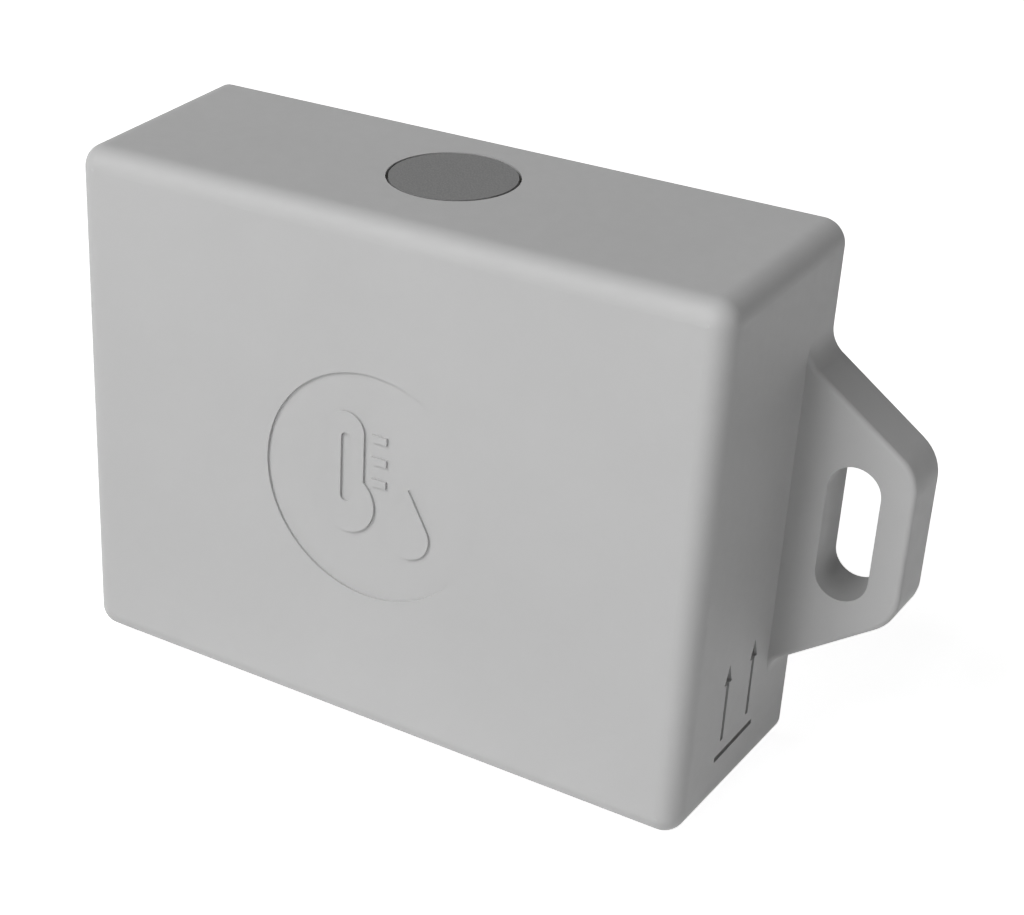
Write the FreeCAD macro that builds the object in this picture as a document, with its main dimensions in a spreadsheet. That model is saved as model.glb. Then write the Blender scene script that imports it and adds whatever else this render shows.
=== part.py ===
import FreeCAD, Part
import os
import Sketcher
from FreeCAD import Placement, Rotation, Vector

# Temperature and humidity sensor in a wall-mounted moulded case.
# X points right, Y points to the wall and Z points up, with the origin on the mounting plane midway
# between the two ears' slots. A depth is a distance in front of the mounting plane, towards -Y.

# Driving sizes, in millimetres and degrees
SIZES = {
    # Moulded case
    "front_width": 66.0,
    "front_height": 51.7,
    "body_depth": 22.5,
    "draft_angle": 2.0,
    "edge_radius": 2.15,
    "side_wall": 2.4,
    "front_wall": 2.2,
    "cavity_draft": 1.0,
    "cavity_radius": 1.6,
    "rim_wall": 1.3,
    "rim_radius": 1.2,
    # Ears with their slots
    "ear_reach": 11.3,
    "ear_root_height": 31.1,
    "ear_tip_height": 15.0,
    "ear_thickness": 5.3,
    "ear_corner_radius": 4.3,
    "ear_root_radius": 2.8,
    "ear_edge_radius": 0.5,
    "slot_width": 5.0,
    "slot_height": 13.4,
    "slot_setoff": 5.6,
    # Rear cover, its seal and its screws
    "cover_recess": 0.3,
    "cover_thickness": 2.4,
    "cover_clearance": 0.2,
    "label_width": 34.0,
    "label_height": 20.0,
    "label_depth": 0.3,
    "pry_width": 8.0,
    "pry_depth": 1.0,
    "gasket_thickness": 0.7,
    "gasket_width": 1.0,
    "gasket_clearance": 0.25,
    "boss_diameter": 6.4,
    "boss_inset": 3.2,
    "insert_diameter": 3.8,
    "insert_length": 5.0,
    "screw_diameter": 2.5,
    "screw_length": 6.4,
    "screw_head_diameter": 4.6,
    "screw_head_height": 1.3,
    "screw_socket_size": 2.0,
    "screw_socket_depth": 0.8,
    "screw_hole_clearance": 0.2,
    "screw_tip_clearance": 0.8,
    "seal_diameter": 4.6,
    "seal_thickness": 0.4,
    "counterbore_clearance": 0.3,
    # Vent in the top wall
    "vent_setback": 12.9,
    "vent_diameter": 11.8,
    "vent_gap": 0.27,
    "membrane_thickness": 0.5,
    "adhesive_thickness": 0.3,
    "adhesive_bore": 7.0,
    "breather_diameter": 5.0,
    "collar_diameter": 8.6,
    "collar_height": 0.8,
    # Sensing element under the vent
    "boot_diameter": 7.6,
    "boot_bore": 5.2,
    "boot_height": 2.0,
    "sensor_board_width": 12.0,
    "sensor_board_thickness": 0.8,
    "sensor_board_margin": 0.4,
    "chip_size": 2.5,
    "chip_height": 0.9,
    "chip_window": 1.0,
    "chip_window_depth": 0.3,
    "socket_width": 14.0,
    "socket_height": 3.0,
    "socket_length": 2.2,
    "socket_floor": 0.7,
    # Main board
    "board_margin_wide": 2.1,
    "board_margin_high": 1.45,
    "board_thickness": 1.2,
    "board_gap": 2.1,
    "board_boss_clearance": 0.8,
    "post_inset_wide": 10.0,
    "post_inset_high": 3.2,
    "post_diameter": 5.0,
    "pilot_clearance": 0.3,
    "board_screw_diameter": 2.0,
    "board_screw_length": 3.9,
    "board_screw_head_diameter": 3.8,
    "board_screw_head_height": 1.2,
    "board_screw_socket_size": 1.5,
    "board_screw_socket_depth": 0.6,
    "board_hole_clearance": 0.15,
    # Two cells in their holder
    "cell_diameter": 10.5,
    "cell_length": 44.5,
    "cell_bevel": 0.6,
    "nub_diameter": 3.8,
    "nub_length": 0.9,
    "holder_inset": 7.25,
    "holder_wall": 1.0,
    "holder_end": 1.2,
    "holder_rib": 0.7,
    "holder_floor": 1.0,
    "holder_height": 8.0,
    "holder_radius": 1.0,
    "cell_clearance": 0.2,
    "contact_thickness": 0.4,
    "contact_width": 7.0,
    "contact_inset": 0.6,
    "contact_foot": 1.6,
    "contact_clearance": 0.2,
    "leaf_width": 4.0,
    "leaf_height": 2.2,
    "leaf_drop": 3.4,
    "foam_width": 36.0,
    "foam_height": 18.0,
    # Parts on the front of the main board
    "module_width": 16.0,
    "module_height": 12.0,
    "module_thickness": 0.6,
    "module_place": -12.0,
    "module_level": 3.0,
    "shield_width": 10.6,
    "shield_height": 10.6,
    "shield_depth": 1.1,
    "shield_sheet": 0.2,
    "shield_inset": 0.4,
    "antenna_width": 2.0,
    "antenna_height": 5.0,
    "antenna_depth": 1.0,
    "antenna_inset": 0.8,
    "reed_width": 2.2,
    "reed_height": 10.0,
    "reed_depth": 1.7,
    "reed_place": 23.5,
    "memory_width": 4.0,
    "memory_height": 5.0,
    "memory_depth": 1.5,
    "memory_place": 6.0,
    "memory_level": 6.0,
    "regulator_width": 2.9,
    "regulator_height": 1.6,
    "regulator_depth": 1.1,
    "regulator_place": 6.0,
    "regulator_level": -4.0,
    "capacitor_width": 2.0,
    "capacitor_height": 1.25,
    "capacitor_depth": 1.0,
    "capacitor_pitch": 2.6,
    "capacitor_place": 12.5,
    "capacitor_level": -4.0,
    "resistor_width": 1.6,
    "resistor_height": 0.8,
    "resistor_depth": 0.5,
    "resistor_pitch": 1.6,
    "resistor_place": 12.5,
    "resistor_level": 6.0,
    # Round sign on the front: a thermometer and a drop
    "sign_diameter": 22.6,
    "sign_depth": 0.25,
    "stem_width": 3.8,
    "stem_height": 11.0,
    "stem_place": -2.6,
    "stem_level": 1.6,
    "bulb_diameter": 6.2,
    "column_width": 1.1,
    "column_height": 7.0,
    "tick_length": 1.6,
    "tick_width": 0.7,
    "tick_gap": 0.8,
    "tick_pitch": 2.2,
    "tick_level": 5.2,
    "drop_diameter": 4.6,
    "drop_height": 4.7,
    "drop_place": 4.1,
    "drop_level": -3.6,
    # Engraved this-way-up arrows on the right wall
    "arrow_line": 0.55,
    "arrow_depth": 0.9,
    "arrow_height": 8.1,
    "arrow_foot": -19.2,
    "arrow_head_width": 1.5,
    "arrow_head_height": 2.0,
    "arrow_setback": 8.3,
    "arrow_pitch": 5.3,
    "bar_length": 7.9,
    "bar_setback": 7.2,
    "bar_level": -20.85,
}

CAPACITOR_COUNT = 3
RESISTOR_COUNT = 4
TICK_COUNT = 3
ARROW_COUNT = 2
SIDES = (-1, 1)

# Angles of a hexagon's corners when two of its flats are upright
HEXAGON_CORNERS = range(30, 390, 60)

# How far a boss or post is sunk into the wall that it grows from, so that they are one solid
OVERLAP = "0.5"

# Points nearer than this are one point, and a pocket cuts away more than this volume
TOUCH = 0.01
LEAST_CUT = 1e-6

# Levels and half sizes that several pieces share
COVER_INNER = "(dims.cover_recess + dims.cover_thickness)"
LEDGE_DEPTH = f"({COVER_INNER} + dims.gasket_thickness)"
FLOOR_DEPTH = "(dims.body_depth - dims.front_wall)"
BACK_HALF_WIDTH = "(dims.front_width / 2 + dims.body_depth * tan(dims.draft_angle))"
BACK_HALF_HEIGHT = "(dims.front_height / 2 + dims.body_depth * tan(dims.draft_angle))"
RIM_HALF_WIDTH = f"({BACK_HALF_WIDTH} - dims.rim_wall)"
RIM_HALF_HEIGHT = f"({BACK_HALF_HEIGHT} - dims.rim_wall)"
CAVITY_SPREAD = f"(({FLOOR_DEPTH} - {LEDGE_DEPTH}) * tan(dims.cavity_draft))"
CAVITY_HALF_WIDTH = f"(dims.front_width / 2 - dims.side_wall + {CAVITY_SPREAD})"
CAVITY_HALF_HEIGHT = f"(dims.front_height / 2 - dims.side_wall + {CAVITY_SPREAD})"
BOSS_WIDE = "(dims.front_width / 2 - dims.side_wall - dims.boss_inset)"
BOSS_HIGH = "(dims.front_height / 2 - dims.side_wall - dims.boss_inset)"
BOARD_FRONT = f"({FLOOR_DEPTH} - dims.board_gap)"
BOARD_BACK = f"({BOARD_FRONT} - dims.board_thickness)"
BOARD_HALF_WIDTH = "(dims.front_width / 2 - dims.side_wall - dims.board_margin_wide)"
BOARD_HALF_HEIGHT = "(dims.front_height / 2 - dims.side_wall - dims.board_margin_high)"
POST_WIDE = f"({BOARD_HALF_WIDTH} - dims.post_inset_wide)"
POST_HIGH = f"({BOARD_HALF_HEIGHT} - dims.post_inset_high)"
SLOT_PLACE = f"({BACK_HALF_WIDTH} + dims.slot_setoff)"
SEAT_DEPTH = "(dims.screw_head_height + dims.seal_thickness)"
VENT_DEPTH = "(dims.body_depth - dims.vent_setback)"
COLLAR_LEVEL = "(dims.front_height / 2 - dims.side_wall - dims.collar_height)"
SENSOR_TOP = f"({COLLAR_LEVEL} - dims.boot_height)"
SENSOR_BOTTOM = f"({SENSOR_TOP} - dims.sensor_board_thickness)"
HOLDER_TOP = f"({BOARD_BACK} - dims.holder_height)"
HOLDER_FLOOR = f"({BOARD_BACK} - dims.holder_floor)"
BAY_LENGTH = "(dims.cell_length + dims.contact_thickness + dims.leaf_height)"
BAY_HEIGHT = "(dims.cell_diameter + 2 * dims.cell_clearance)"
CELL_PITCH = f"({BAY_HEIGHT} + dims.holder_rib)"
CELL_DEPTH = f"({HOLDER_FLOOR} - dims.cell_diameter / 2)"
HOLDER_HALF_HEIGHT = f"(({CELL_PITCH} + {BAY_HEIGHT}) / 2 + dims.holder_wall)"
HOLDER_LEVEL = f"({HOLDER_HALF_HEIGHT} + dims.holder_inset - {BOARD_HALF_HEIGHT})"

doc = FreeCAD.newDocument("temperature_humidity_sensor")
sheet = doc.addObject("Spreadsheet::Sheet", "dims")
for row, (alias, size) in enumerate(SIZES.items(), start=1):
    sheet.set(f"A{row}", alias)
    sheet.set(f"B{row}", str(size))
    sheet.setAlias(f"B{row}", alias)
doc.recompute()


def value(expression):
    """The number that an expression of the sheet's sizes gives now."""
    return float(sheet.evalExpression(expression))


def new_body(label):
    body = doc.addObject("PartDesign::Body", label)
    body.Label = label
    body.AllowCompound = True
    return body


def new_sketch(body, name, role="XZ_Plane", shift=("0", "0", "0"), tilt=None):
    """A sketch parallel to one of the body's origin planes, moved in the plane's own axes, and tilted
    about one of them by (axis, angle)."""
    plane = next(item for item in body.Origin.OriginFeatures if item.Role == role)
    sketch = body.newObject("Sketcher::SketchObject", name)
    sketch.AttachmentSupport = [(plane, "")]
    sketch.MapMode = "FlatFace"
    if tilt:
        axis, angle = tilt
        sketch.AttachmentOffset = Placement(Vector(), Rotation(axis, value(angle)))
        sketch.setExpression("AttachmentOffset.Rotation.Angle", angle)
    for letter, place in zip("xyz", shift):
        sketch.setExpression(f"AttachmentOffset.Base.{letter}", place)
    return sketch


def depth_sketch(body, name, depth):
    """A sketch parallel to the mounting plane, seen from the front, at a depth in front of it."""
    return new_sketch(body, name, "XZ_Plane", ("0", "0", depth))


def constrain(sketch, expression, kind, *where):
    """One dimension of the sketch, bound to an expression of the sheet's sizes."""
    index = sketch.addConstraint(Sketcher.Constraint(kind, *where, value(expression)))
    name = f"size_{index}"
    sketch.renameConstraint(index, name)
    sketch.setExpression(f"Constraints.{name}", expression)


def fix_point(sketch, geometry, point, place):
    constrain(sketch, place[0], "DistanceX", -1, 1, geometry, point)
    constrain(sketch, place[1], "DistanceY", -1, 1, geometry, point)


def polygon(sketch, corners):
    """A closed outline of straight lines through the corners, each an (x, y) pair of expressions."""
    points = [Vector(value(x), value(y), 0) for x, y in corners]
    following = points[1:] + points[:1]
    lines = [sketch.addGeometry(Part.LineSegment(*ends), False) for ends in zip(points, following)]
    for line, after in zip(lines, lines[1:] + lines[:1]):
        sketch.addConstraint(Sketcher.Constraint("Coincident", line, 2, after, 1))
    for line, corner in zip(lines, corners):
        fix_point(sketch, line, 1, corner)


def rectangle(sketch, place, width, height):
    x, y = place
    left, right = (f"({x}) {sign} ({width}) / 2" for sign in "-+")
    low, high = (f"({y}) {sign} ({height}) / 2" for sign in "-+")
    polygon(sketch, [(left, low), (right, low), (right, high), (left, high)])


def circle(sketch, place, diameter):
    centre = Vector(value(place[0]), value(place[1]), 0)
    radius = f"({diameter}) / 2"
    index = sketch.addGeometry(Part.Circle(centre, Vector(0, 0, 1), value(radius)), False)
    fix_point(sketch, index, 3, place)
    constrain(sketch, radius, "Radius", index)


def rounded(sketch, centres, radius):
    """A closed outline of arcs about the centres, taken anticlockwise, joined by tangent lines."""
    points = [Vector(value(x), value(y), 0) for x, y in centres]
    size = value(radius)
    across = []
    for start, end in zip(points, points[1:] + points[:1]):
        along = (end - start).normalize()
        across.append(Vector(along.y, -along.x, 0) * size)
    arcs, lines = [], []
    for index, point in enumerate(points):
        mouth, leave = across[index - 1], across[index]
        turn = Part.ArcOfCircle(
            Part.Circle(point, Vector(0, 0, 1), size),
            Vector(1, 0, 0).getAngle(mouth) * (1 if mouth.y >= 0 else -1),
            Vector(1, 0, 0).getAngle(leave) * (1 if leave.y >= 0 else -1),
        )
        arcs.append(sketch.addGeometry(turn, False))
        after = points[(index + 1) % len(points)]
        lines.append(sketch.addGeometry(Part.LineSegment(point + leave, after + leave), False))
    for index, (arc, line) in enumerate(zip(arcs, lines)):
        following = arcs[(index + 1) % len(arcs)]
        sketch.addConstraint(Sketcher.Constraint("Tangent", arc, 2, line, 1))
        sketch.addConstraint(Sketcher.Constraint("Tangent", line, 2, following, 1))
        fix_point(sketch, arc, 3, centres[index])
    constrain(sketch, radius, "Radius", arcs[0])
    for arc in arcs[1:]:
        sketch.addConstraint(Sketcher.Constraint("Equal", arcs[0], arc))


def rounded_rectangle(sketch, place, half_width, half_height, radius):
    x, y = place
    wide, high = f"(({half_width}) - ({radius}))", f"(({half_height}) - ({radius}))"
    corners = [(-1, -1), (1, -1), (1, 1), (-1, 1)]
    rounded(sketch, [(f"({x}) + {i} * {wide}", f"({y}) + {j} * {high}") for i, j in corners], radius)


def obround(sketch, place, width, height):
    """An upright slot shape with half-round ends."""
    x, y = place
    reach = f"(({height}) - ({width})) / 2"
    rounded(sketch, [(x, f"({y}) + {reach}"), (x, f"({y}) - {reach}")], f"({width}) / 2")


def feature(kind, body, sketch, name, length, backward=False, taper=None):
    """A pad or pocket of a sketch, along the sketch's normal or, backward, against it."""
    item = body.newObject(f"PartDesign::{kind}", name)
    item.Profile = sketch
    item.setExpression("Length", length)
    if taper:
        item.setExpression("TaperAngle", taper)
    item.Reversed = backward if kind == "Pad" else not backward
    return item


def pad(body, sketch, name, length, backward=False, taper=None):
    return feature("Pad", body, sketch, name, length, backward, taper)


def pocket(body, sketch, name, length, backward=False, taper=None):
    return feature("Pocket", body, sketch, name, length, backward, taper)


def fillet(body, base, name, radius, wanted):
    """Rounds the edges of the base feature whose start, end and middle the test accepts."""
    doc.recompute()
    edges = []
    for number, edge in enumerate(base.Shape.Edges, start=1):
        ends = [vertex.Point for vertex in edge.Vertexes]
        if len(ends) == 2 and wanted(ends[0], ends[1], edge.CenterOfMass):
            edges.append(f"Edge{number}")
    item = body.newObject("PartDesign::Fillet", name)
    item.Base = (base, edges)
    item.setExpression("Radius", radius)
    return item


def four_places(wide, high):
    return [(f"{i} * {wide}", f"{j} * {high}") for i in SIDES for j in SIDES]


BOSS_PLACES = four_places(BOSS_WIDE, BOSS_HIGH)
POST_PLACES = four_places(POST_WIDE, POST_HIGH)


def add_block(label, place, level, size, lift="0"):
    """A block centred at x and z, from a depth forward by its thickness (width, thickness, height)."""
    width, thickness, height = size
    block = doc.addObject("Part::Box", label)
    block.Label = label
    block.setExpression("Length", width)
    block.setExpression("Width", thickness)
    block.setExpression("Height", height)
    block.setExpression("Placement.Base.x", f"({place}) - ({width}) / 2")
    block.setExpression("Placement.Base.y", f"-(({level}) + ({thickness}))")
    block.setExpression("Placement.Base.z", f"({lift}) - ({height}) / 2")
    return block


def cut(label, base, tool):
    result = doc.addObject("Part::Cut", label)
    result.Label = label
    result.Base = base
    result.Tool = tool
    return result


def make_housing():
    """The case: one moulding open at the back, with both ears, the vent seat, bosses and posts."""
    body = new_body("housing")
    add_case_block(body)
    add_ears(body)
    cut_cavity(body)
    add_bosses(body)
    cut_vent_seat(body)
    cut_slots(body)
    add_sign(body)
    engrave_arrows(body)


def add_case_block(body):
    outline = depth_sketch(body, "case_outline", "0")
    rectangle(outline, ("0", "0"), f"2 * {BACK_HALF_WIDTH}", f"2 * {BACK_HALF_HEIGHT}")
    block = pad(body, outline, "case_block", "dims.body_depth", taper="-dims.draft_angle")

    def off_mounting_plane(start, end, _):
        return min(start.y, end.y) < -TOUCH

    fillet(body, block, "case_edges", "dims.edge_radius", off_mounting_plane)


def add_ears(body):
    """One ear on each side, flush with the mounting plane and tapering outwards, with rounded corners."""
    tip = f"({BACK_HALF_WIDTH} + dims.ear_reach)"
    slope = "((dims.ear_root_height - dims.ear_tip_height) / 2 / dims.ear_reach)"
    inner = f"({BACK_HALF_WIDTH} - dims.side_wall)"
    inner_half = f"(dims.ear_root_height / 2 + dims.side_wall * {slope})"
    outline = depth_sketch(body, "ear_outline", "0")
    for side in SIDES:
        polygon(outline, [
            (f"{side} * {inner}", f"{side} * -{inner_half}"),
            (f"{side} * {tip}", f"{side} * -dims.ear_tip_height / 2"),
            (f"{side} * {tip}", f"{side} * dims.ear_tip_height / 2"),
            (f"{side} * {inner}", f"{side} * {inner_half}"),
        ])
    ears = pad(body, outline, "ears", "dims.ear_thickness", taper="-dims.draft_angle")
    wall, outer, thickness = value(BACK_HALF_WIDTH), value(tip), value("dims.ear_thickness")
    root_half = value("dims.ear_root_height / 2")
    lean = value("dims.ear_thickness * tan(dims.draft_angle)") + TOUCH

    def through(start, end):
        return abs(abs(start.y - end.y) - thickness) < TOUCH

    def at_tip(start, end, _):
        return through(start, end) and min(abs(start.x), abs(end.x)) > outer - lean

    def at_root(start, end, middle):
        beside_ear = max(abs(start.z), abs(end.z)) < root_half + TOUCH
        return through(start, end) and beside_ear and abs(abs(middle.x) - wall) < lean

    def on_front(start, end, middle):
        level = all(abs(point.y + thickness) < TOUCH for point in (start, end))
        return level and abs(middle.x) > wall

    corners = fillet(body, ears, "ear_corners", "dims.ear_corner_radius", at_tip)
    roots = fillet(body, corners, "ear_roots", "dims.ear_root_radius", at_root)
    fillet(body, roots, "ear_edges", "dims.ear_edge_radius", on_front)


def cut_cavity(body):
    """The drafted cavity with the vent's flat-bottomed collar under its top wall, and the rim that takes
    the cover, with a ledge for the seal."""
    hollow = depth_sketch(body, "cavity_outline", LEDGE_DEPTH)
    rounded_rectangle(hollow, ("0", "0"), CAVITY_HALF_WIDTH, CAVITY_HALF_HEIGHT, "dims.cavity_radius")
    pocket(body, hollow, "cavity", f"{FLOOR_DEPTH} - {LEDGE_DEPTH}", taper="-dims.cavity_draft")
    collar = new_sketch(body, "collar_outline", "XY_Plane", ("0", "0", COLLAR_LEVEL))
    circle(collar, ("0", f"-{VENT_DEPTH}"), "dims.collar_diameter")
    pad(body, collar, "vent_collar", "dims.collar_height + dims.side_wall / 2")
    rim = depth_sketch(body, "rim_outline", "0")
    rounded_rectangle(rim, ("0", "0"), RIM_HALF_WIDTH, RIM_HALF_HEIGHT, "dims.rim_radius")
    pocket(body, rim, "rim_recess", LEDGE_DEPTH)


def add_bosses(body):
    """Corner pillars for the cover screws' inserts, their webs, and the posts under the main board."""
    pillars = depth_sketch(body, "pillar_outline", COVER_INNER)
    for place in BOSS_PLACES:
        circle(pillars, place, "dims.boss_diameter")
    pad(body, pillars, "pillars", f"{FLOOR_DEPTH} - {COVER_INNER} + {OVERLAP}")
    webs = depth_sketch(body, "web_outline", LEDGE_DEPTH)
    wide = f"({CAVITY_HALF_WIDTH} - {BOSS_WIDE} + {OVERLAP})"
    high = f"({CAVITY_HALF_HEIGHT} - {BOSS_HIGH} + {OVERLAP})"
    for middle in four_places(f"({BOSS_WIDE} + {wide} / 2)", f"({BOSS_HIGH} + {high} / 2)"):
        rectangle(webs, middle, wide, high)
    pad(body, webs, "webs", f"{FLOOR_DEPTH} - {LEDGE_DEPTH} + {OVERLAP}")
    sockets = depth_sketch(body, "insert_outline", COVER_INNER)
    tips = depth_sketch(body, "tip_outline", COVER_INNER)
    for place in BOSS_PLACES:
        circle(sockets, place, "dims.insert_diameter")
        circle(tips, place, "dims.screw_diameter + 2 * dims.screw_hole_clearance")
    pocket(body, sockets, "insert_holes", "dims.insert_length")
    screw_end = "dims.cover_recess + dims.screw_head_height + dims.screw_length"
    pocket(body, tips, "tip_holes", f"{screw_end} + dims.screw_tip_clearance - {COVER_INNER}")
    posts = depth_sketch(body, "post_outline", BOARD_FRONT)
    pilots = depth_sketch(body, "pilot_outline", BOARD_FRONT)
    for place in POST_PLACES:
        circle(posts, place, "dims.post_diameter")
        circle(pilots, place, "dims.board_screw_diameter")
    pad(body, posts, "posts", f"dims.board_gap + {OVERLAP}")
    pilot_depth = "dims.board_screw_length - dims.board_thickness + dims.pilot_clearance"
    pocket(body, pilots, "pilot_holes", pilot_depth)


def vent_sketch(body, name):
    """A sketch on the sloping top face, with its origin over the vent's centre."""
    shift = ("0", f"-{VENT_DEPTH}", f"dims.front_height / 2 + dims.vent_setback * tan(dims.draft_angle)")
    return new_sketch(body, name, "XY_Plane", shift, (Vector(1, 0, 0), "dims.draft_angle"))


def cut_vent_seat(body):
    """The membrane's seat in the top wall and the breather hole through its collar."""
    seat = vent_sketch(body, "seat_outline")
    circle(seat, ("0", "0"), "dims.vent_diameter + 2 * dims.vent_gap")
    pocket(body, seat, "vent_seat", "dims.membrane_thickness + dims.adhesive_thickness", backward=True)
    hole = vent_sketch(body, "breather_outline")
    circle(hole, ("0", "0"), "dims.breather_diameter")
    pocket(body, hole, "breather_hole", "2 * (dims.side_wall + dims.collar_height)", backward=True)


def cut_slots(body):
    """An upright slot with half-round ends through each ear."""
    slots = depth_sketch(body, "slot_outline", "0")
    for side in SIDES:
        obround(slots, (f"{side} * {SLOT_PLACE}", "0"), "dims.slot_width", "dims.slot_height")
    pocket(body, slots, "ear_slots", f"dims.ear_thickness + {OVERLAP}")


def add_sign(body):
    """A shallow round recess with a raised thermometer, its scale ticks and a drop."""
    recess = depth_sketch(body, "sign_outline", "dims.body_depth")
    circle(recess, ("0", "0"), "dims.sign_diameter")
    pocket(body, recess, "sign_recess", "dims.sign_depth", backward=True)
    floor = "(dims.body_depth - dims.sign_depth)"
    foot = "(dims.stem_level - (dims.stem_height - dims.stem_width) / 2)"
    stem = depth_sketch(body, "stem_outline", floor)
    obround(stem, ("dims.stem_place", "dims.stem_level"), "dims.stem_width", "dims.stem_height")
    pad(body, stem, "thermometer_stem", "dims.sign_depth")
    bulb = depth_sketch(body, "bulb_outline", floor)
    circle(bulb, ("dims.stem_place", foot), "dims.bulb_diameter")
    pad(body, bulb, "thermometer_bulb", "dims.sign_depth")
    column = depth_sketch(body, "column_outline", "dims.body_depth")
    obround(column, ("dims.stem_place", f"{foot} + dims.column_height / 2"), "dims.column_width",
            "dims.column_height")
    pocket(body, column, "thermometer_column", "dims.sign_depth", backward=True)
    ticks = depth_sketch(body, "tick_outline", floor)
    place = "dims.stem_place + dims.stem_width / 2 + dims.tick_gap + dims.tick_length / 2"
    for count in range(TICK_COUNT):
        level = f"dims.tick_level - {count} * dims.tick_pitch"
        rectangle(ticks, (place, level), "dims.tick_length", "dims.tick_width")
    pad(body, ticks, "scale_ticks", "dims.sign_depth")
    drop = depth_sketch(body, "drop_outline", floor)
    circle(drop, ("dims.drop_place", "dims.drop_level"), "dims.drop_diameter")
    pad(body, drop, "drop_round", "dims.sign_depth")
    peak = depth_sketch(body, "peak_outline", floor)
    lean = "(dims.drop_diameter / 2 / dims.drop_height)"
    side = f"(dims.drop_diameter / 2 * sqrt(1 - {lean} ^ 2))"
    shoulder = f"dims.drop_level + dims.drop_diameter / 2 * {lean}"
    polygon(peak, [
        (f"dims.drop_place + {side}", shoulder),
        ("dims.drop_place", "dims.drop_level + dims.drop_height"),
        (f"dims.drop_place - {side}", shoulder),
    ])
    pad(body, peak, "drop_peak", "dims.sign_depth")


def engrave_arrows(body):
    """Two upright arrows over a bar, cut into the sloping right wall."""
    shift = ("-dims.body_depth", "0", "dims.front_width / 2")
    marks = new_sketch(body, "arrow_outline", "YZ_Plane", shift, (Vector(0, -1, 0), "dims.draft_angle"))
    rectangle(marks, ("dims.bar_setback + dims.bar_length / 2", "dims.bar_level"), "dims.bar_length",
              "dims.arrow_line")
    tip = "dims.arrow_foot + dims.arrow_height"
    neck = f"{tip} - dims.arrow_head_height"
    for count in range(ARROW_COUNT):
        middle = f"dims.arrow_setback + {count} * dims.arrow_pitch"
        line, head = "dims.arrow_line / 2", "dims.arrow_head_width / 2"
        polygon(marks, [
            (f"{middle} - {line}", "dims.arrow_foot"),
            (f"{middle} + {line}", "dims.arrow_foot"),
            (f"{middle} + {line}", neck),
            (f"{middle} + {head}", neck),
            (middle, tip),
            (f"{middle} - {head}", neck),
            (f"{middle} - {line}", neck),
        ])
    pocket(body, marks, "arrows", "dims.arrow_depth", backward=True)


def make_rear_cover():
    """A flat inset plate with four counterbored holes, a bare label recess and a pry notch."""
    body = new_body("rear_cover")
    outer = depth_sketch(body, "plate_outline", "dims.cover_recess")
    wide, high = (f"({size} - dims.cover_clearance)" for size in (RIM_HALF_WIDTH, RIM_HALF_HEIGHT))
    rounded_rectangle(outer, ("0", "0"), wide, high, "(dims.rim_radius - dims.cover_clearance)")
    pad(body, outer, "plate", "dims.cover_thickness")
    seats = depth_sketch(body, "counterbore_outline", "dims.cover_recess")
    holes = depth_sketch(body, "hole_outline", "dims.cover_recess")
    for place in BOSS_PLACES:
        circle(seats, place, "dims.screw_head_diameter + 2 * dims.counterbore_clearance")
        circle(holes, place, "dims.screw_diameter + 2 * dims.screw_hole_clearance")
    pocket(body, seats, "counterbores", SEAT_DEPTH)
    pocket(body, holes, "screw_holes", "dims.cover_thickness")
    label = depth_sketch(body, "label_outline", "dims.cover_recess")
    rounded_rectangle(label, ("0", "0"), "dims.label_width / 2", "dims.label_height / 2", "dims.rim_radius")
    pocket(body, label, "label_recess", "dims.label_depth")
    notch = depth_sketch(body, "pry_outline", "dims.cover_recess")
    rectangle(notch, ("0", f"-{high}"), "dims.pry_width", "2 * dims.pry_depth")
    pocket(body, notch, "pry_notch", "dims.pry_depth")


def make_cover_gasket():
    body = new_body("cover_gasket")
    ring = depth_sketch(body, "ring_outline", COVER_INNER)
    sizes = [f"({size} - dims.gasket_clearance)" for size in (RIM_HALF_WIDTH, RIM_HALF_HEIGHT)]
    radius = "(dims.rim_radius - dims.gasket_clearance)"
    rounded_rectangle(ring, ("0", "0"), *sizes, radius)
    rectangle(ring, ("0", "0"), *(f"2 * ({size} - dims.gasket_width)" for size in sizes))
    pad(body, ring, "ring", "dims.gasket_thickness")


def add_hexagons(sketch, places, size):
    """Hexagonal driver sockets, size across the flats, with two flats upright."""
    corner = f"{size} / sqrt(3)"
    for x, y in places:
        polygon(sketch, [
            (f"{x} + {corner} * cos({angle})", f"{y} + {corner} * sin({angle})")
            for angle in HEXAGON_CORNERS
        ])


def make_screws(label, places, top, prefix):
    """Socket-head screws whose heads start at the top depth, in a group of separate solids."""
    body = new_body(label)
    heads = depth_sketch(body, "head_outline", top)
    shanks = depth_sketch(body, "shank_outline", f"{top} + dims.{prefix}_head_height")
    sockets = depth_sketch(body, "socket_outline", top)
    for place in places:
        circle(heads, place, f"dims.{prefix}_head_diameter")
        circle(shanks, place, f"dims.{prefix}_diameter")
    add_hexagons(sockets, places, f"dims.{prefix}_socket_size")
    pad(body, heads, "heads", f"dims.{prefix}_head_height")
    pad(body, shanks, "shanks", f"dims.{prefix}_length")
    pocket(body, sockets, "sockets", f"dims.{prefix}_socket_depth")


def make_rings(label, places, level, outer, inner, thickness):
    """Flat rings or tubes about the places, in a group of separate solids."""
    body = new_body(label)
    rings = depth_sketch(body, "ring_outline", level)
    for place in places:
        circle(rings, place, outer)
        circle(rings, place, inner)
    pad(body, rings, "rings", thickness)


def make_cover_fastenings():
    make_screws("cover_screws", BOSS_PLACES, "dims.cover_recess", "screw")
    seal_level = "dims.cover_recess + dims.screw_head_height"
    make_rings("screw_seals", BOSS_PLACES, seal_level, "dims.seal_diameter", "dims.screw_diameter",
               "dims.seal_thickness")
    make_rings("cover_inserts", BOSS_PLACES, COVER_INNER, "dims.insert_diameter", "dims.screw_diameter",
               "dims.insert_length")


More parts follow.
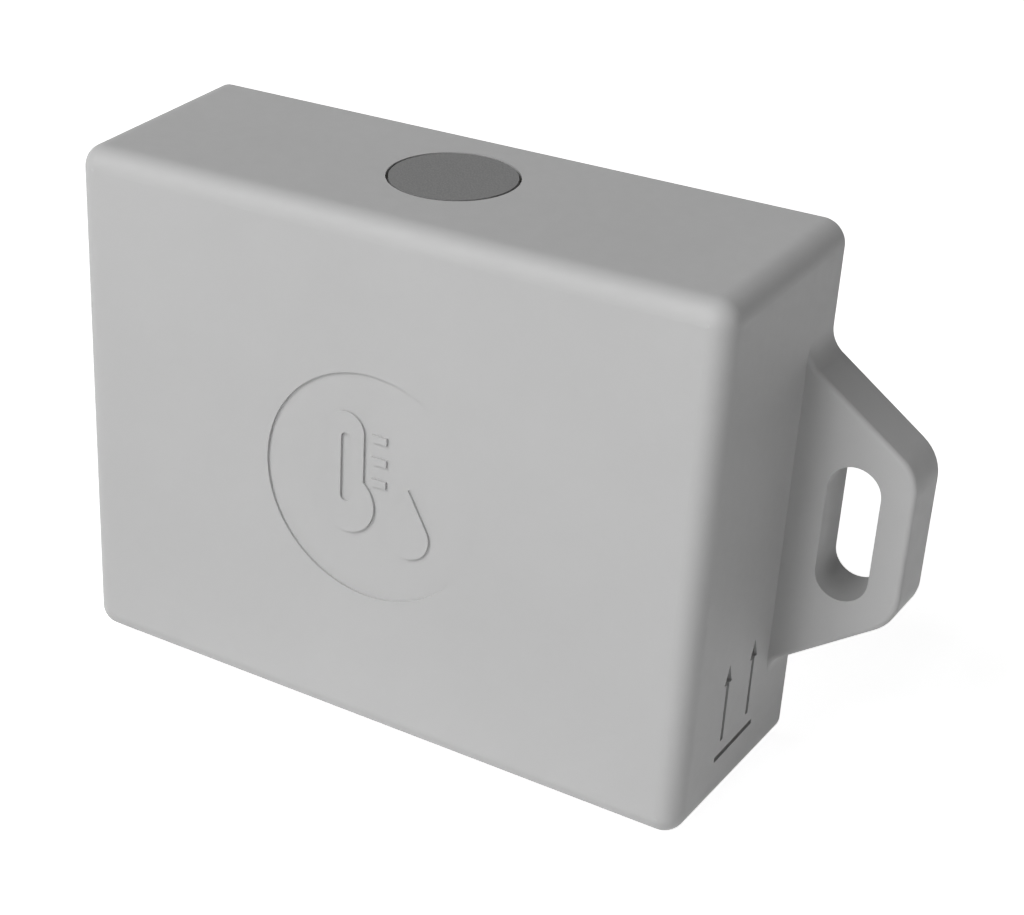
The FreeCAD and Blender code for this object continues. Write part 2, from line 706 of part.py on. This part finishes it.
def make_vent():
    """The porous disc flush with the top face and the adhesive ring that holds it in its seat."""
    membrane = new_body("vent_membrane")
    disc = vent_sketch(membrane, "disc_outline")
    circle(disc, ("0", "0"), "dims.vent_diameter")
    pad(membrane, disc, "disc", "dims.membrane_thickness", backward=True)
    adhesive = new_body("vent_adhesive")
    ring = vent_sketch(adhesive, "ring_outline")
    circle(ring, ("0", "0"), "dims.vent_diameter")
    circle(ring, ("0", "0"), "dims.adhesive_bore")
    through = "(dims.membrane_thickness + dims.adhesive_thickness)"
    pad(adhesive, ring, "ring", through, backward=True)
    bed = vent_sketch(adhesive, "bed_outline")
    circle(bed, ("0", "0"), "dims.vent_diameter")
    pocket(adhesive, bed, "membrane_bed", "dims.membrane_thickness", backward=True)


def make_sensor():
    """The sensing chip on its small level board, in a soft boot under the vent's collar."""
    boot = new_body("sensor_boot")
    ring = new_sketch(boot, "ring_outline", "XY_Plane", ("0", "0", SENSOR_TOP))
    circle(ring, ("0", f"-{VENT_DEPTH}"), "dims.boot_diameter")
    circle(ring, ("0", f"-{VENT_DEPTH}"), "dims.boot_bore")
    pad(boot, ring, "ring", "dims.boot_height")
    board = new_body("sensor_board")
    outline = new_sketch(board, "board_outline", "XY_Plane", ("0", "0", SENSOR_BOTTOM))
    front = f"({BOARD_BACK} - dims.socket_floor)"
    back = f"({VENT_DEPTH} - dims.boot_diameter / 2 - dims.sensor_board_margin)"
    rectangle(outline, ("0", f"-({front} + {back}) / 2"), "dims.sensor_board_width", f"{front} - {back}")
    pad(board, outline, "board", "dims.sensor_board_thickness")
    chip = new_body("humidity_sensor")
    square = new_sketch(chip, "chip_outline", "XY_Plane", ("0", "0", SENSOR_TOP))
    rectangle(square, ("0", f"-{VENT_DEPTH}"), "dims.chip_size", "dims.chip_size")
    pad(chip, square, "chip", "dims.chip_height")
    window = new_sketch(chip, "window_outline", "XY_Plane", ("0", "0", f"{SENSOR_TOP} + dims.chip_height"))
    circle(window, ("0", f"-{VENT_DEPTH}"), "dims.chip_window")
    pocket(chip, window, "window", "dims.chip_window_depth", backward=True)
    socket = new_body("sensor_socket")
    level = f"({SENSOR_TOP} + {SENSOR_BOTTOM}) / 2"
    face = depth_sketch(socket, "socket_outline", f"{BOARD_BACK} - dims.socket_length")
    rectangle(face, ("0", level), "dims.socket_width", "dims.socket_height")
    pad(socket, face, "socket", "dims.socket_length")
    mouth = depth_sketch(socket, "mouth_outline", f"{BOARD_BACK} - dims.socket_length")
    rectangle(mouth, ("0", level), "dims.sensor_board_width", "dims.sensor_board_thickness")
    pocket(socket, mouth, "mouth", "dims.socket_length - dims.socket_floor")


def make_main_board():
    """The main board, notched round the corner pillars, on four posts of the case's front wall."""
    body = new_body("main_board")
    outline = depth_sketch(body, "board_outline", BOARD_BACK)
    clear = "(dims.boss_diameter / 2 + dims.board_boss_clearance)"
    wide, high = f"({BOSS_WIDE} - {clear})", f"({BOSS_HIGH} - {clear})"
    quarter = [(BOARD_HALF_WIDTH, high), (wide, high), (wide, BOARD_HALF_HEIGHT)]
    corners = list(quarter)
    corners += [(f"-{x}", y) for x, y in reversed(quarter)]
    corners += [(f"-{x}", f"-{y}") for x, y in quarter]
    corners += [(x, f"-{y}") for x, y in reversed(quarter)]
    polygon(outline, corners)
    pad(body, outline, "board", "dims.board_thickness")
    holes = depth_sketch(body, "hole_outline", BOARD_BACK)
    for place in POST_PLACES:
        circle(holes, place, "dims.board_screw_diameter + 2 * dims.board_hole_clearance")
    pocket(body, holes, "screw_holes", "dims.board_thickness")


def make_board_screws():
    top = f"({BOARD_BACK} - dims.board_screw_head_height)"
    make_screws("board_screws", POST_PLACES, top, "board_screw")


def bay_level(side):
    return f"({HOLDER_LEVEL} + {side} * {CELL_PITCH} / 2)"


def make_battery_holder():
    """An open tray with two bays, soldered down on the back of the main board."""
    body = new_body("battery_holder")
    outline = depth_sketch(body, "tray_outline", HOLDER_TOP)
    half_length = f"({BAY_LENGTH} / 2 + dims.holder_end)"
    rounded_rectangle(outline, ("0", HOLDER_LEVEL), half_length, HOLDER_HALF_HEIGHT, "dims.holder_radius")
    pad(body, outline, "tray", "dims.holder_height")
    bays = depth_sketch(body, "bay_outline", HOLDER_TOP)
    for side in SIDES:
        rectangle(bays, ("0", bay_level(side)), BAY_LENGTH, BAY_HEIGHT)
    pocket(body, bays, "bays", "dims.holder_height - dims.holder_floor")
    gate = depth_sketch(body, "gate_outline", HOLDER_TOP)
    gate_width = "(dims.contact_thickness + dims.contact_clearance)"
    rectangle(gate, (f"-({BAY_LENGTH} - {gate_width}) / 2", HOLDER_LEVEL), gate_width, CELL_PITCH)
    pocket(body, gate, "bridge_gate", "dims.holder_height - dims.holder_floor")
    feet = depth_sketch(body, "foot_outline", HOLDER_FLOOR)
    for side in SIDES:
        rectangle(feet, (f"({BAY_LENGTH} - {gate_width}) / 2", bay_level(side)), gate_width,
                  "dims.contact_foot + 2 * dims.contact_clearance")
    pocket(body, feet, "foot_slots", "dims.holder_floor")


def make_cell(label, side, direction):
    """One round cell lying along X, with its positive nub towards the given direction."""
    body = new_body(label)
    profile = new_sketch(body, "half_outline", "XZ_Plane", ("0", bay_level(side), CELL_DEPTH))
    tip = f"({BAY_LENGTH} / 2 - dims.contact_thickness)"
    base = f"({tip} - dims.cell_length)"
    shoulder = f"({tip} - dims.nub_length)"
    radius, nub = "dims.cell_diameter / 2", "dims.nub_diameter / 2"
    outline = [
        (base, "0"),
        (tip, "0"),
        (tip, nub),
        (shoulder, nub),
        (shoulder, f"{radius} - dims.cell_bevel"),
        (f"{shoulder} - dims.cell_bevel", radius),
        (f"{base} + dims.cell_bevel", radius),
        (base, f"{radius} - dims.cell_bevel"),
    ]
    polygon(profile, [(f"{direction} * ({x})", y) for x, y in outline])
    turned = body.newObject("PartDesign::Revolution", "turned")
    turned.Profile = profile
    turned.ReferenceAxis = (profile, ["H_Axis"])
    turned.Angle = 360


def contact_plate(body, side, direction, foot):
    """A contact's plate against the bay's end wall, with a foot down to the board where it has one."""
    place = f"{direction} * {BAY_LENGTH} / 2"
    sheet_metal = new_sketch(body, "plate_outline", "YZ_Plane", ("0", "0", place))
    half, toe = "dims.contact_width / 2", "dims.contact_foot / 2"
    top, floor = f"-({HOLDER_TOP} + dims.contact_inset)", f"-{HOLDER_FLOOR}"
    level = bay_level(side)
    corners = [(top, f"{level} - {half}"), (top, f"{level} + {half}"), (floor, f"{level} + {half}")]
    if foot:
        board = f"-{BOARD_BACK}"
        corners += [(floor, f"{level} + {toe}"), (board, f"{level} + {toe}")]
        corners += [(board, f"{level} - {toe}"), (floor, f"{level} - {toe}")]
    corners.append((floor, f"{level} - {half}"))
    polygon(sheet_metal, corners)
    pad(body, sheet_metal, "plate", "dims.contact_thickness", backward=direction > 0)


def contact_leaf(body, side, direction):
    """The sprung leaf, folded over at the plate's top and bowed out to the cell's flat end."""
    shift = ("0", "0", f"{bay_level(side)} - dims.leaf_width / 2")
    leaf = new_sketch(body, "leaf_outline", "XY_Plane", shift)
    wall = f"{BAY_LENGTH} / 2"
    top = f"-({HOLDER_TOP} + dims.contact_inset)"
    sheet_size = "dims.contact_thickness"
    outline = [
        (f"({wall} - {sheet_size})", top),
        (f"({wall} - {sheet_size})", f"{top} - 2 * {sheet_size}"),
        (f"({wall} - dims.leaf_height + {sheet_size})", f"-{CELL_DEPTH}"),
        (f"({wall} - 2 * {sheet_size})", f"-{CELL_DEPTH} - dims.leaf_drop"),
        (f"({wall} - 3 * {sheet_size})", f"-{CELL_DEPTH} - dims.leaf_drop"),
        (f"({wall} - dims.leaf_height)", f"-{CELL_DEPTH} - {sheet_size}"),
        (f"({wall} - dims.leaf_height)", f"-{CELL_DEPTH} + {sheet_size}"),
        (f"({wall} - 2 * {sheet_size})", top),
    ]
    polygon(leaf, [(f"{direction} * ({x})", y) for x, y in outline])
    pad(body, leaf, "leaf", "dims.leaf_width")


def make_contacts():
    """The cells in series: a plate and a leaf at the right end, one bridge across the left end."""
    contact_plate(new_body("positive_contact"), 1, 1, foot=True)
    negative = new_body("negative_contact")
    contact_plate(negative, -1, 1, foot=True)
    contact_leaf(negative, -1, 1)
    bridge = new_body("bridge_contact")
    plate = new_sketch(bridge, "plate_outline", "YZ_Plane", ("0", "0", f"-{BAY_LENGTH} / 2"))
    top = f"({HOLDER_TOP} + dims.contact_inset)"
    rectangle(plate, (f"-({top} + {HOLDER_FLOOR}) / 2", HOLDER_LEVEL), f"{HOLDER_FLOOR} - {top}",
              f"{CELL_PITCH} + dims.contact_width")
    pad(bridge, plate, "plate", "dims.contact_thickness")
    contact_leaf(bridge, 1, -1)


def make_power():
    """The holder, its cells and contacts, and the foam that fills the room between cells and cover."""
    make_battery_holder()
    make_cell("upper_cell", 1, 1)
    make_cell("lower_cell", -1, -1)
    make_contacts()
    foam_size = ("dims.foam_width", f"{CELL_DEPTH} - dims.cell_diameter / 2 - {COVER_INNER}",
                 "dims.foam_height")
    add_block("foam_pad", "0", COVER_INNER, foam_size, HOLDER_LEVEL)


def make_row(label, count, kind):
    """Like parts in a row on the front of the main board, in a group of separate solids."""
    body = new_body(label)
    outline = depth_sketch(body, "row_outline", BOARD_FRONT)
    for number in range(count):
        place = (f"dims.{kind}_place", f"dims.{kind}_level - {number} * dims.{kind}_pitch")
        rectangle(outline, place, f"dims.{kind}_width", f"dims.{kind}_height")
    pad(body, outline, "row", f"dims.{kind}_depth")


def make_radio():
    """The radio module: its board, the antenna at its outer end and a pressed sheet shield."""
    size = ("dims.module_width", "dims.module_thickness", "dims.module_height")
    add_block("radio_module", "dims.module_place", BOARD_FRONT, size, "dims.module_level")
    level = f"({BOARD_FRONT} + dims.module_thickness)"
    place = "(dims.module_place + dims.module_width / 2 - dims.shield_inset - dims.shield_width / 2)"
    can = add_block("shield_outside", place, level,
                    ("dims.shield_width", "dims.shield_depth", "dims.shield_height"), "dims.module_level")
    inside = ("dims.shield_width - 2 * dims.shield_sheet", "dims.shield_depth - dims.shield_sheet",
              "dims.shield_height - 2 * dims.shield_sheet")
    hollow = add_block("shield_inside", place, level, inside, "dims.module_level")
    cut("radio_shield", can, hollow)
    end = "(dims.module_place - dims.module_width / 2 + dims.antenna_inset + dims.antenna_width / 2)"
    size = ("dims.antenna_width", "dims.antenna_depth", "dims.antenna_height")
    add_block("chip_antenna", end, level, size, "dims.module_level")


def make_electronics():
    make_radio()
    for label, kind in {"memory_chip": "memory", "voltage_regulator": "regulator"}.items():
        size = (f"dims.{kind}_width", f"dims.{kind}_depth", f"dims.{kind}_height")
        add_block(label, f"dims.{kind}_place", BOARD_FRONT, size, f"dims.{kind}_level")
    reed = ("dims.reed_width", "dims.reed_depth", "dims.reed_height")
    add_block("magnet_switch", "dims.reed_place", BOARD_FRONT, reed)
    make_row("capacitors", CAPACITOR_COUNT, "capacitor")
    make_row("resistors", RESISTOR_COUNT, "resistor")


make_housing()
make_rear_cover()
make_cover_gasket()
make_cover_fastenings()
make_vent()
make_sensor()
make_main_board()
make_board_screws()
make_power()
make_electronics()
doc.recompute()


def sub_parts():
    """The bodies, blocks and cuts that stand by themselves, without the tools that a cut uses up."""
    kinds = ("PartDesign::Body", "Part::Box", "Part::Cut")
    return [item for item in doc.Objects if item.TypeId in kinds and not any(
        user.TypeId == "Part::Cut" for user in item.InList)]


def check_document():
    for item in doc.Objects:
        if {"Invalid", "Error"} & set(item.State):
            raise RuntimeError(f"{item.Label} is {item.State}")
        if item.TypeId == "PartDesign::Pocket" and item.BaseFeature:
            if item.Shape.Volume > item.BaseFeature.Shape.Volume - LEAST_CUT:
                raise RuntimeError(f"{item.Label} cuts nothing")
    for item in sub_parts():
        if item.Shape.isNull() or not item.Shape.isValid() or not item.Shape.Solids:
            raise RuntimeError(f"{item.Label} has no sound shape")


check_document()
os.makedirs("parts", exist_ok=True)
for part in sub_parts():
    part.Shape.exportStep(f"parts/{part.Label}.step")
    print(part.Label, len(part.Shape.Solids), round(part.Shape.Volume, 2))
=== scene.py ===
import bpy
from mathutils import Matrix, Vector


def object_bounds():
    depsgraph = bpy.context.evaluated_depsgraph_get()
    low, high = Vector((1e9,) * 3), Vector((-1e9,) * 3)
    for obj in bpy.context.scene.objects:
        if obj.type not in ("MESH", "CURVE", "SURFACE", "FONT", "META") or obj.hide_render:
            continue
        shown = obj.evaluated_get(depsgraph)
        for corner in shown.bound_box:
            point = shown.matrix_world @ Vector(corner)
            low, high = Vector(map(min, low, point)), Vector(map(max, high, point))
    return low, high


# Looks of the temperature and humidity sensor, in metres: materials for its pieces, a pale floor,
# soft studio light and the photograph's camera.

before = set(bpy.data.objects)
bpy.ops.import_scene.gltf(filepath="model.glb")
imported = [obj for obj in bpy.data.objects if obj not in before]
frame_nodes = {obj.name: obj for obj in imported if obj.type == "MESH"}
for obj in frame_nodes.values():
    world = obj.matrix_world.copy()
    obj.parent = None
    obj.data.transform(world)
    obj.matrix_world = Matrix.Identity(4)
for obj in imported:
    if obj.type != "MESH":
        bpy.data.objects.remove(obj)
cad_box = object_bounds()

MM = 0.001
WHITE = (1, 1, 1, 1)

# The photograph's frame and camera
IMAGE_WIDTH, IMAGE_HEIGHT = 1024, 915
FOCAL_PIXELS = 2007.15
CENTRE_PIXEL = (436.77, 449.63)
CAMERA_PLACE = Vector((0.08567, -0.15904, 0.08554))
CAMERA_RIGHT = Vector((0.85568, 0.51606, 0.0387))
CAMERA_DOWN = Vector((0.26224, -0.36793, -0.89211))
CAMERA_AHEAD = Vector((-0.44614, 0.77351, -0.45016))
SENSOR_WIDTH = 36.0
NEAREST_SEEN = 0.01

# How fine each texture is, in features per metre
FLOW_MARKS = 60.0
SHEEN_PATCHES = 900.0
SPARK_GRAIN = 3800.0
RUBBER_BLOOM = 700.0
RUBBER_SHEEN = 1500.0
RUBBER_GRAIN = 6000.0
METAL_STAINS = 1200.0
METAL_POLISH = 2500.0
METAL_SCRATCHES = 9000.0
SINTER_GRAINS = 5200.0
SINTER_WAVES = 900.0
COPPER_AREAS = 260.0
GLASS_WEAVE = 2200.0
CERAMIC_MOTTLE = 3000.0
CERAMIC_GRAIN = 8000.0
FOAM_BUBBLES = 1600.0

# Colours used more than once, or matched to the photograph
CASE_GREY = (0.52, 0.52, 0.52)
VENT_GREY = (0.286, 0.286, 0.286)
BLACK = (0.02, 0.02, 0.022)

# Floor: its half width, its grey and the white that it shows to the camera
FLOOR_SPAN = 1.0
FLOOR_GREY = (0.8, 0.8, 0.8)
FLOOR_ROUGHNESS = 0.9
FLOOR_GLOW = 0.88

# Studio: dim light from all round, a large soft lamp in front, above and to the left, weak ones low in
# front and on the right, and a low one behind, which only the back sees
WORLD_LIGHT = 0.04
LAMP_DISTANCE = 1.5
LAMPS = {
    "key_lamp": {"direction": (-0.30, -0.55, 0.55), "size": 1.0, "power": 16.6},
    "front_lamp": {"direction": (-0.15, -1.0, 0.08), "size": 0.35, "power": 3.5},
    "fill_lamp": {"direction": (0.90, -0.40, 0.25), "size": 1.0, "power": 2.85},
    "back_lamp": {"direction": (0.0, 1.0, -0.01), "size": 0.12, "power": 12.0},
}


class Nodes:
    """A material's node tree, with short calls that add a node and wire it up."""

    def __init__(self, name, color, roughness, metallic=0.0, specular=0.5):
        self.material = bpy.data.materials.new(name)
        self.material.use_nodes = True
        self.tree = self.material.node_tree
        self.shader = self.tree.nodes["Principled BSDF"]
        self.shader.inputs["Base Color"].default_value = (*color, 1)
        self.shader.inputs["Roughness"].default_value = roughness
        self.shader.inputs["Metallic"].default_value = metallic
        self.shader.inputs["Specular IOR Level"].default_value = specular
        self.place = self.add("ShaderNodeTexCoord").outputs["Object"]

    def add(self, kind, **settings):
        node = self.tree.nodes.new(kind)
        for key, setting in settings.items():
            setattr(node, key, setting)
        return node

    def wire(self, node, **inputs):
        """Sets a node's inputs by name, each to a number or another node's output."""
        for key, source in inputs.items():
            socket = node.inputs[key]
            if isinstance(source, bpy.types.NodeSocket):
                self.tree.links.new(source, socket)
            else:
                socket.default_value = source
        return node

    def noise(self, scale, detail=3.0, roughness=0.5):
        node = self.add("ShaderNodeTexNoise")
        self.wire(node, Vector=self.place, Scale=scale, Detail=detail, Roughness=roughness)
        return node.outputs["Fac"]

    def cells(self, scale, feature="F1"):
        node = self.add("ShaderNodeTexVoronoi", feature=feature)
        self.wire(node, Vector=self.place, Scale=scale)
        return node.outputs["Distance"]

    def spread(self, source, low, high, start=0.3, end=0.7):
        """Maps a texture's value from start to end onto low to high."""
        node = self.add("ShaderNodeMapRange")
        self.wire(node, Value=source)
        for key, number in (("From Min", start), ("From Max", end), ("To Min", low), ("To Max", high)):
            node.inputs[key].default_value = number
        return node.outputs["Result"]

    def blend(self, factor, first, second):
        """A colour between two others."""
        node = self.add("ShaderNodeMix", data_type="RGBA")
        self.tree.links.new(factor, node.inputs["Factor"])
        for key, color in (("A", first), ("B", second)):
            socket = next(item for item in node.inputs if item.name == key and item.type == "RGBA")
            if isinstance(color, bpy.types.NodeSocket):
                self.tree.links.new(color, socket)
            else:
                socket.default_value = (*color, 1)
        return next(item for item in node.outputs if item.type == "RGBA")

    def color(self, source):
        self.tree.links.new(source, self.shader.inputs["Base Color"])

    def rough(self, source):
        self.tree.links.new(source, self.shader.inputs["Roughness"])

    def bump(self, source, height):
        """Relief from a texture's value, height in metres for a change of one."""
        node = self.add("ShaderNodeBump")
        self.wire(node, Height=source, Strength=1.0, Distance=height)
        last = self.shader.inputs["Normal"]
        if last.links:
            self.tree.links.new(last.links[0].from_socket, node.inputs["Normal"])
        self.tree.links.new(node.outputs["Normal"], last)


def shade(color, factor):
    return tuple(part * factor for part in color)


def moulded(name, color, roughness, grain=0.012, specular=0.4):
    """Moulded plastic: a fine spark-eroded texture, faint flow marks and uneven sheen."""
    look = Nodes(name, color, roughness, specular=specular)
    flow = look.spread(look.noise(FLOW_MARKS, detail=2.0), 0.0, 1.0)
    look.color(look.blend(flow, shade(color, 0.985), shade(color, 1.015)))
    look.rough(look.spread(look.noise(SHEEN_PATCHES, detail=4.0), roughness - 0.05, roughness + 0.05))
    look.bump(look.noise(SPARK_GRAIN, detail=3.0, roughness=0.6), grain * MM)
    return look.material


def rubber(name, color, roughness=0.7):
    """Moulded rubber: matt, with a dusty bloom in patches."""
    look = Nodes(name, color, roughness, specular=0.3)
    bloom = look.spread(look.noise(RUBBER_BLOOM, detail=4.0), 0.0, 1.0)
    look.color(look.blend(bloom, color, shade(color, 1.5)))
    look.rough(look.spread(look.noise(RUBBER_SHEEN), roughness - 0.08, roughness + 0.08))
    look.bump(look.noise(RUBBER_GRAIN), 0.006 * MM)
    return look.material


def metal(name, color, roughness):
    """Turned or pressed metal with fine scratches and uneven polish."""
    look = Nodes(name, color, roughness, metallic=1.0)
    look.color(look.blend(look.spread(look.noise(METAL_STAINS), 0.0, 1.0), shade(color, 0.9), color))
    look.rough(look.spread(look.noise(METAL_POLISH, detail=5.0), roughness - 0.07, roughness + 0.1))
    look.bump(look.noise(METAL_SCRATCHES, detail=5.0, roughness=0.7), 0.003 * MM)
    return look.material


def porous(name, color):
    """The vent's sintered disc: fine open pores between rounded grains, with painted shade in the
    pores.
    """
    look = Nodes(name, color, 0.85, specular=0.2)
    grains = look.cells(SINTER_GRAINS)
    pores = look.spread(grains, 0.0, 1.0, start=0.1, end=0.6)
    # Grain centres painted lighter and the pores between them painted darker: painted shade in the
    # pores
    look.color(look.blend(pores, shade(color, 1.06), shade(color, 0.9)))
    look.bump(grains, -0.02 * MM)
    look.bump(look.noise(SINTER_WAVES), 0.01 * MM)
    return look.material


def laminate(name, color):
    """Circuit board under solder mask: the woven glass shows through, with faint copper areas."""
    look = Nodes(name, color, 0.35, specular=0.5)
    areas = look.cells(COPPER_AREAS, "DISTANCE_TO_EDGE")
    copper = look.spread(areas, 1.0, 0.0, start=0.04, end=0.08)
    weave = look.spread(look.noise(GLASS_WEAVE), 0.0, 0.5)
    masked = look.blend(copper, color, shade(color, 1.6))
    look.color(look.blend(weave, masked, shade(color, 0.8)))
    look.bump(copper, 0.02 * MM)
    return look.material


def ceramic(name, color):
    """Fired ceramic: slightly mottled, with a fine grain."""
    look = Nodes(name, color, 0.5, specular=0.4)
    mottle = look.spread(look.noise(CERAMIC_MOTTLE), 0.0, 1.0)
    look.color(look.blend(mottle, shade(color, 0.92), shade(color, 1.05)))
    look.bump(look.noise(CERAMIC_GRAIN), 0.004 * MM)
    return look.material


def foam(name, color):
    """Open-cell foam: a net of small bubbles, with painted shade in the hollows."""
    look = Nodes(name, color, 0.95, specular=0.1)
    walls = look.cells(FOAM_BUBBLES, "DISTANCE_TO_EDGE")
    hollow_shade = look.spread(walls, 0.0, 1.0, start=0.05, end=0.3)
    # Cell walls painted lighter and the hollows between them painted darker: painted shade in the
    # hollows
    look.color(look.blend(hollow_shade, shade(color, 1.4), shade(color, 0.5)))
    look.bump(walls, -0.2 * MM)
    return look.material


def dress(material, *names):
    """Gives CAD nodes a material in place of their own."""
    for name in names:
        slots = frame_nodes[name].data.materials
        slots.clear()
        slots.append(material)


# Case, vent and seals
dress(moulded("case_plastic", CASE_GREY, 0.54, specular=0.35), "housing", "rear_cover")
dress(porous("vent_disc", VENT_GREY), "vent_membrane")
dress(moulded("adhesive_film", (0.7, 0.67, 0.55), 0.6), "vent_adhesive")
dress(rubber("seal_rubber", BLACK), "cover_gasket", "screw_seals")
dress(rubber("boot_silicone", (0.35, 0.36, 0.38), 0.5), "sensor_boot")
dress(metal("steel", (0.42, 0.42, 0.44), 0.3), "cover_screws", "board_screws")
dress(metal("brass", (0.6, 0.42, 0.16), 0.35), "cover_inserts")

# Boards and what they carry
dress(laminate("board_laminate", (0.015, 0.1, 0.03)), "main_board", "sensor_board")
dress(laminate("module_laminate", (0.01, 0.02, 0.08)), "radio_module")
chip_body = moulded("chip_body", BLACK, 0.55)
dress(chip_body, "humidity_sensor", "memory_chip", "voltage_regulator", "resistors")
dress(moulded("socket_plastic", (0.68, 0.64, 0.5), 0.5), "sensor_socket")
dress(metal("shield_sheet", (0.6, 0.6, 0.61), 0.35), "radio_shield")
dress(ceramic("antenna_ceramic", (0.75, 0.75, 0.7)), "chip_antenna")
dress(ceramic("capacitor_ceramic", (0.4, 0.26, 0.13)), "capacitors")
dress(moulded("switch_body", (0.03, 0.03, 0.032), 0.35, grain=0.004), "magnet_switch")

# Cells and their holder
dress(moulded("holder_plastic", BLACK, 0.5), "battery_holder")
cell_sleeve = moulded("cell_sleeve", (0.04, 0.09, 0.22), 0.3, grain=0.002, specular=0.5)
dress(cell_sleeve, "upper_cell", "lower_cell")
contact_sheet = metal("contact_sheet", (0.62, 0.6, 0.55), 0.25)
dress(contact_sheet, "positive_contact", "negative_contact", "bridge_contact")
dress(foam("foam", (0.05, 0.05, 0.052)), "foam_pad")


def seen_rays(tree):
    """One for camera, glossy and transmission rays, which see the backdrop, and zero for the rest."""
    path = tree.nodes.new("ShaderNodeLightPath")
    total = path.outputs["Is Camera Ray"]
    for name in ("Is Glossy Ray", "Is Transmission Ray"):
        either = tree.nodes.new("ShaderNodeMath")
        either.operation = "MAXIMUM"
        tree.links.new(total, either.inputs[0])
        tree.links.new(path.outputs[name], either.inputs[1])
        total = either.outputs[0]
    return total


def add_object(name, data):
    made = bpy.data.objects.new(name, data)
    bpy.context.scene.collection.objects.link(made)
    return made


def add_floor():
    """A pale floor under the object, with its soft shadow, and white to the camera away from it."""
    level = cad_box[0].z
    signs = ((-1, -1), (1, -1), (1, 1), (-1, 1))
    mesh = bpy.data.meshes.new("floor")
    mesh.from_pydata([(x * FLOOR_SPAN, y * FLOOR_SPAN, level) for x, y in signs], [], [(0, 1, 2, 3)])
    add_object("floor", mesh)
    look = Nodes("floor", FLOOR_GREY, FLOOR_ROUGHNESS, specular=0.0)
    look.shader.inputs["Emission Color"].default_value = WHITE
    glow = look.add("ShaderNodeMath", operation="MULTIPLY")
    look.tree.links.new(seen_rays(look.tree), glow.inputs[0])
    glow.inputs[1].default_value = FLOOR_GLOW
    look.tree.links.new(glow.outputs[0], look.shader.inputs["Emission Strength"])
    mesh.materials.append(look.material)


def add_world():
    """A white backdrop that lights the object only dimly."""
    world = bpy.data.worlds.new("studio")
    bpy.context.scene.world = world
    world.use_nodes = True
    tree = world.node_tree
    background = tree.nodes["Background"]
    background.inputs["Color"].default_value = WHITE
    brightness = tree.nodes.new("ShaderNodeMapRange")
    tree.links.new(seen_rays(tree), brightness.inputs["Value"])
    brightness.inputs["To Min"].default_value = WORLD_LIGHT
    brightness.inputs["To Max"].default_value = 1.0
    tree.links.new(brightness.outputs["Result"], background.inputs["Strength"])


def add_lamp(name, direction, size, power):
    """A round soft lamp in the given direction from the object, turned towards it."""
    towards = Vector(direction).normalized()
    lamp_data = bpy.data.lights.new(name, "AREA")
    lamp_data.shape = "DISK"
    lamp_data.size = size
    lamp_data.energy = power
    lamp = add_object(name, lamp_data)
    lamp.location = towards * LAMP_DISTANCE
    lamp.rotation_mode = "QUATERNION"
    lamp.rotation_quaternion = (-towards).to_track_quat("-Z", "Y")


def add_camera():
    """The photograph's camera: a plain pinhole whose axis is off the frame's centre."""
    camera_data = bpy.data.cameras.new("camera")
    camera_data.sensor_width = SENSOR_WIDTH
    camera_data.lens = SENSOR_WIDTH * FOCAL_PIXELS / IMAGE_WIDTH
    camera_data.shift_x = (IMAGE_WIDTH / 2 - CENTRE_PIXEL[0]) / IMAGE_WIDTH
    camera_data.shift_y = (CENTRE_PIXEL[1] - IMAGE_HEIGHT / 2) / IMAGE_WIDTH
    camera_data.clip_start = NEAREST_SEEN
    camera = add_object("camera", camera_data)
    axes = Matrix((CAMERA_RIGHT, -CAMERA_DOWN, -CAMERA_AHEAD)).transposed()
    camera.matrix_world = Matrix.Translation(CAMERA_PLACE) @ axes.to_4x4()
    bpy.context.scene.camera = camera


add_floor()
add_world()
for lamp_name, setting in LAMPS.items():
    add_lamp(lamp_name, **setting)
add_camera()
bpy.context.scene.view_settings.view_transform = "Standard"
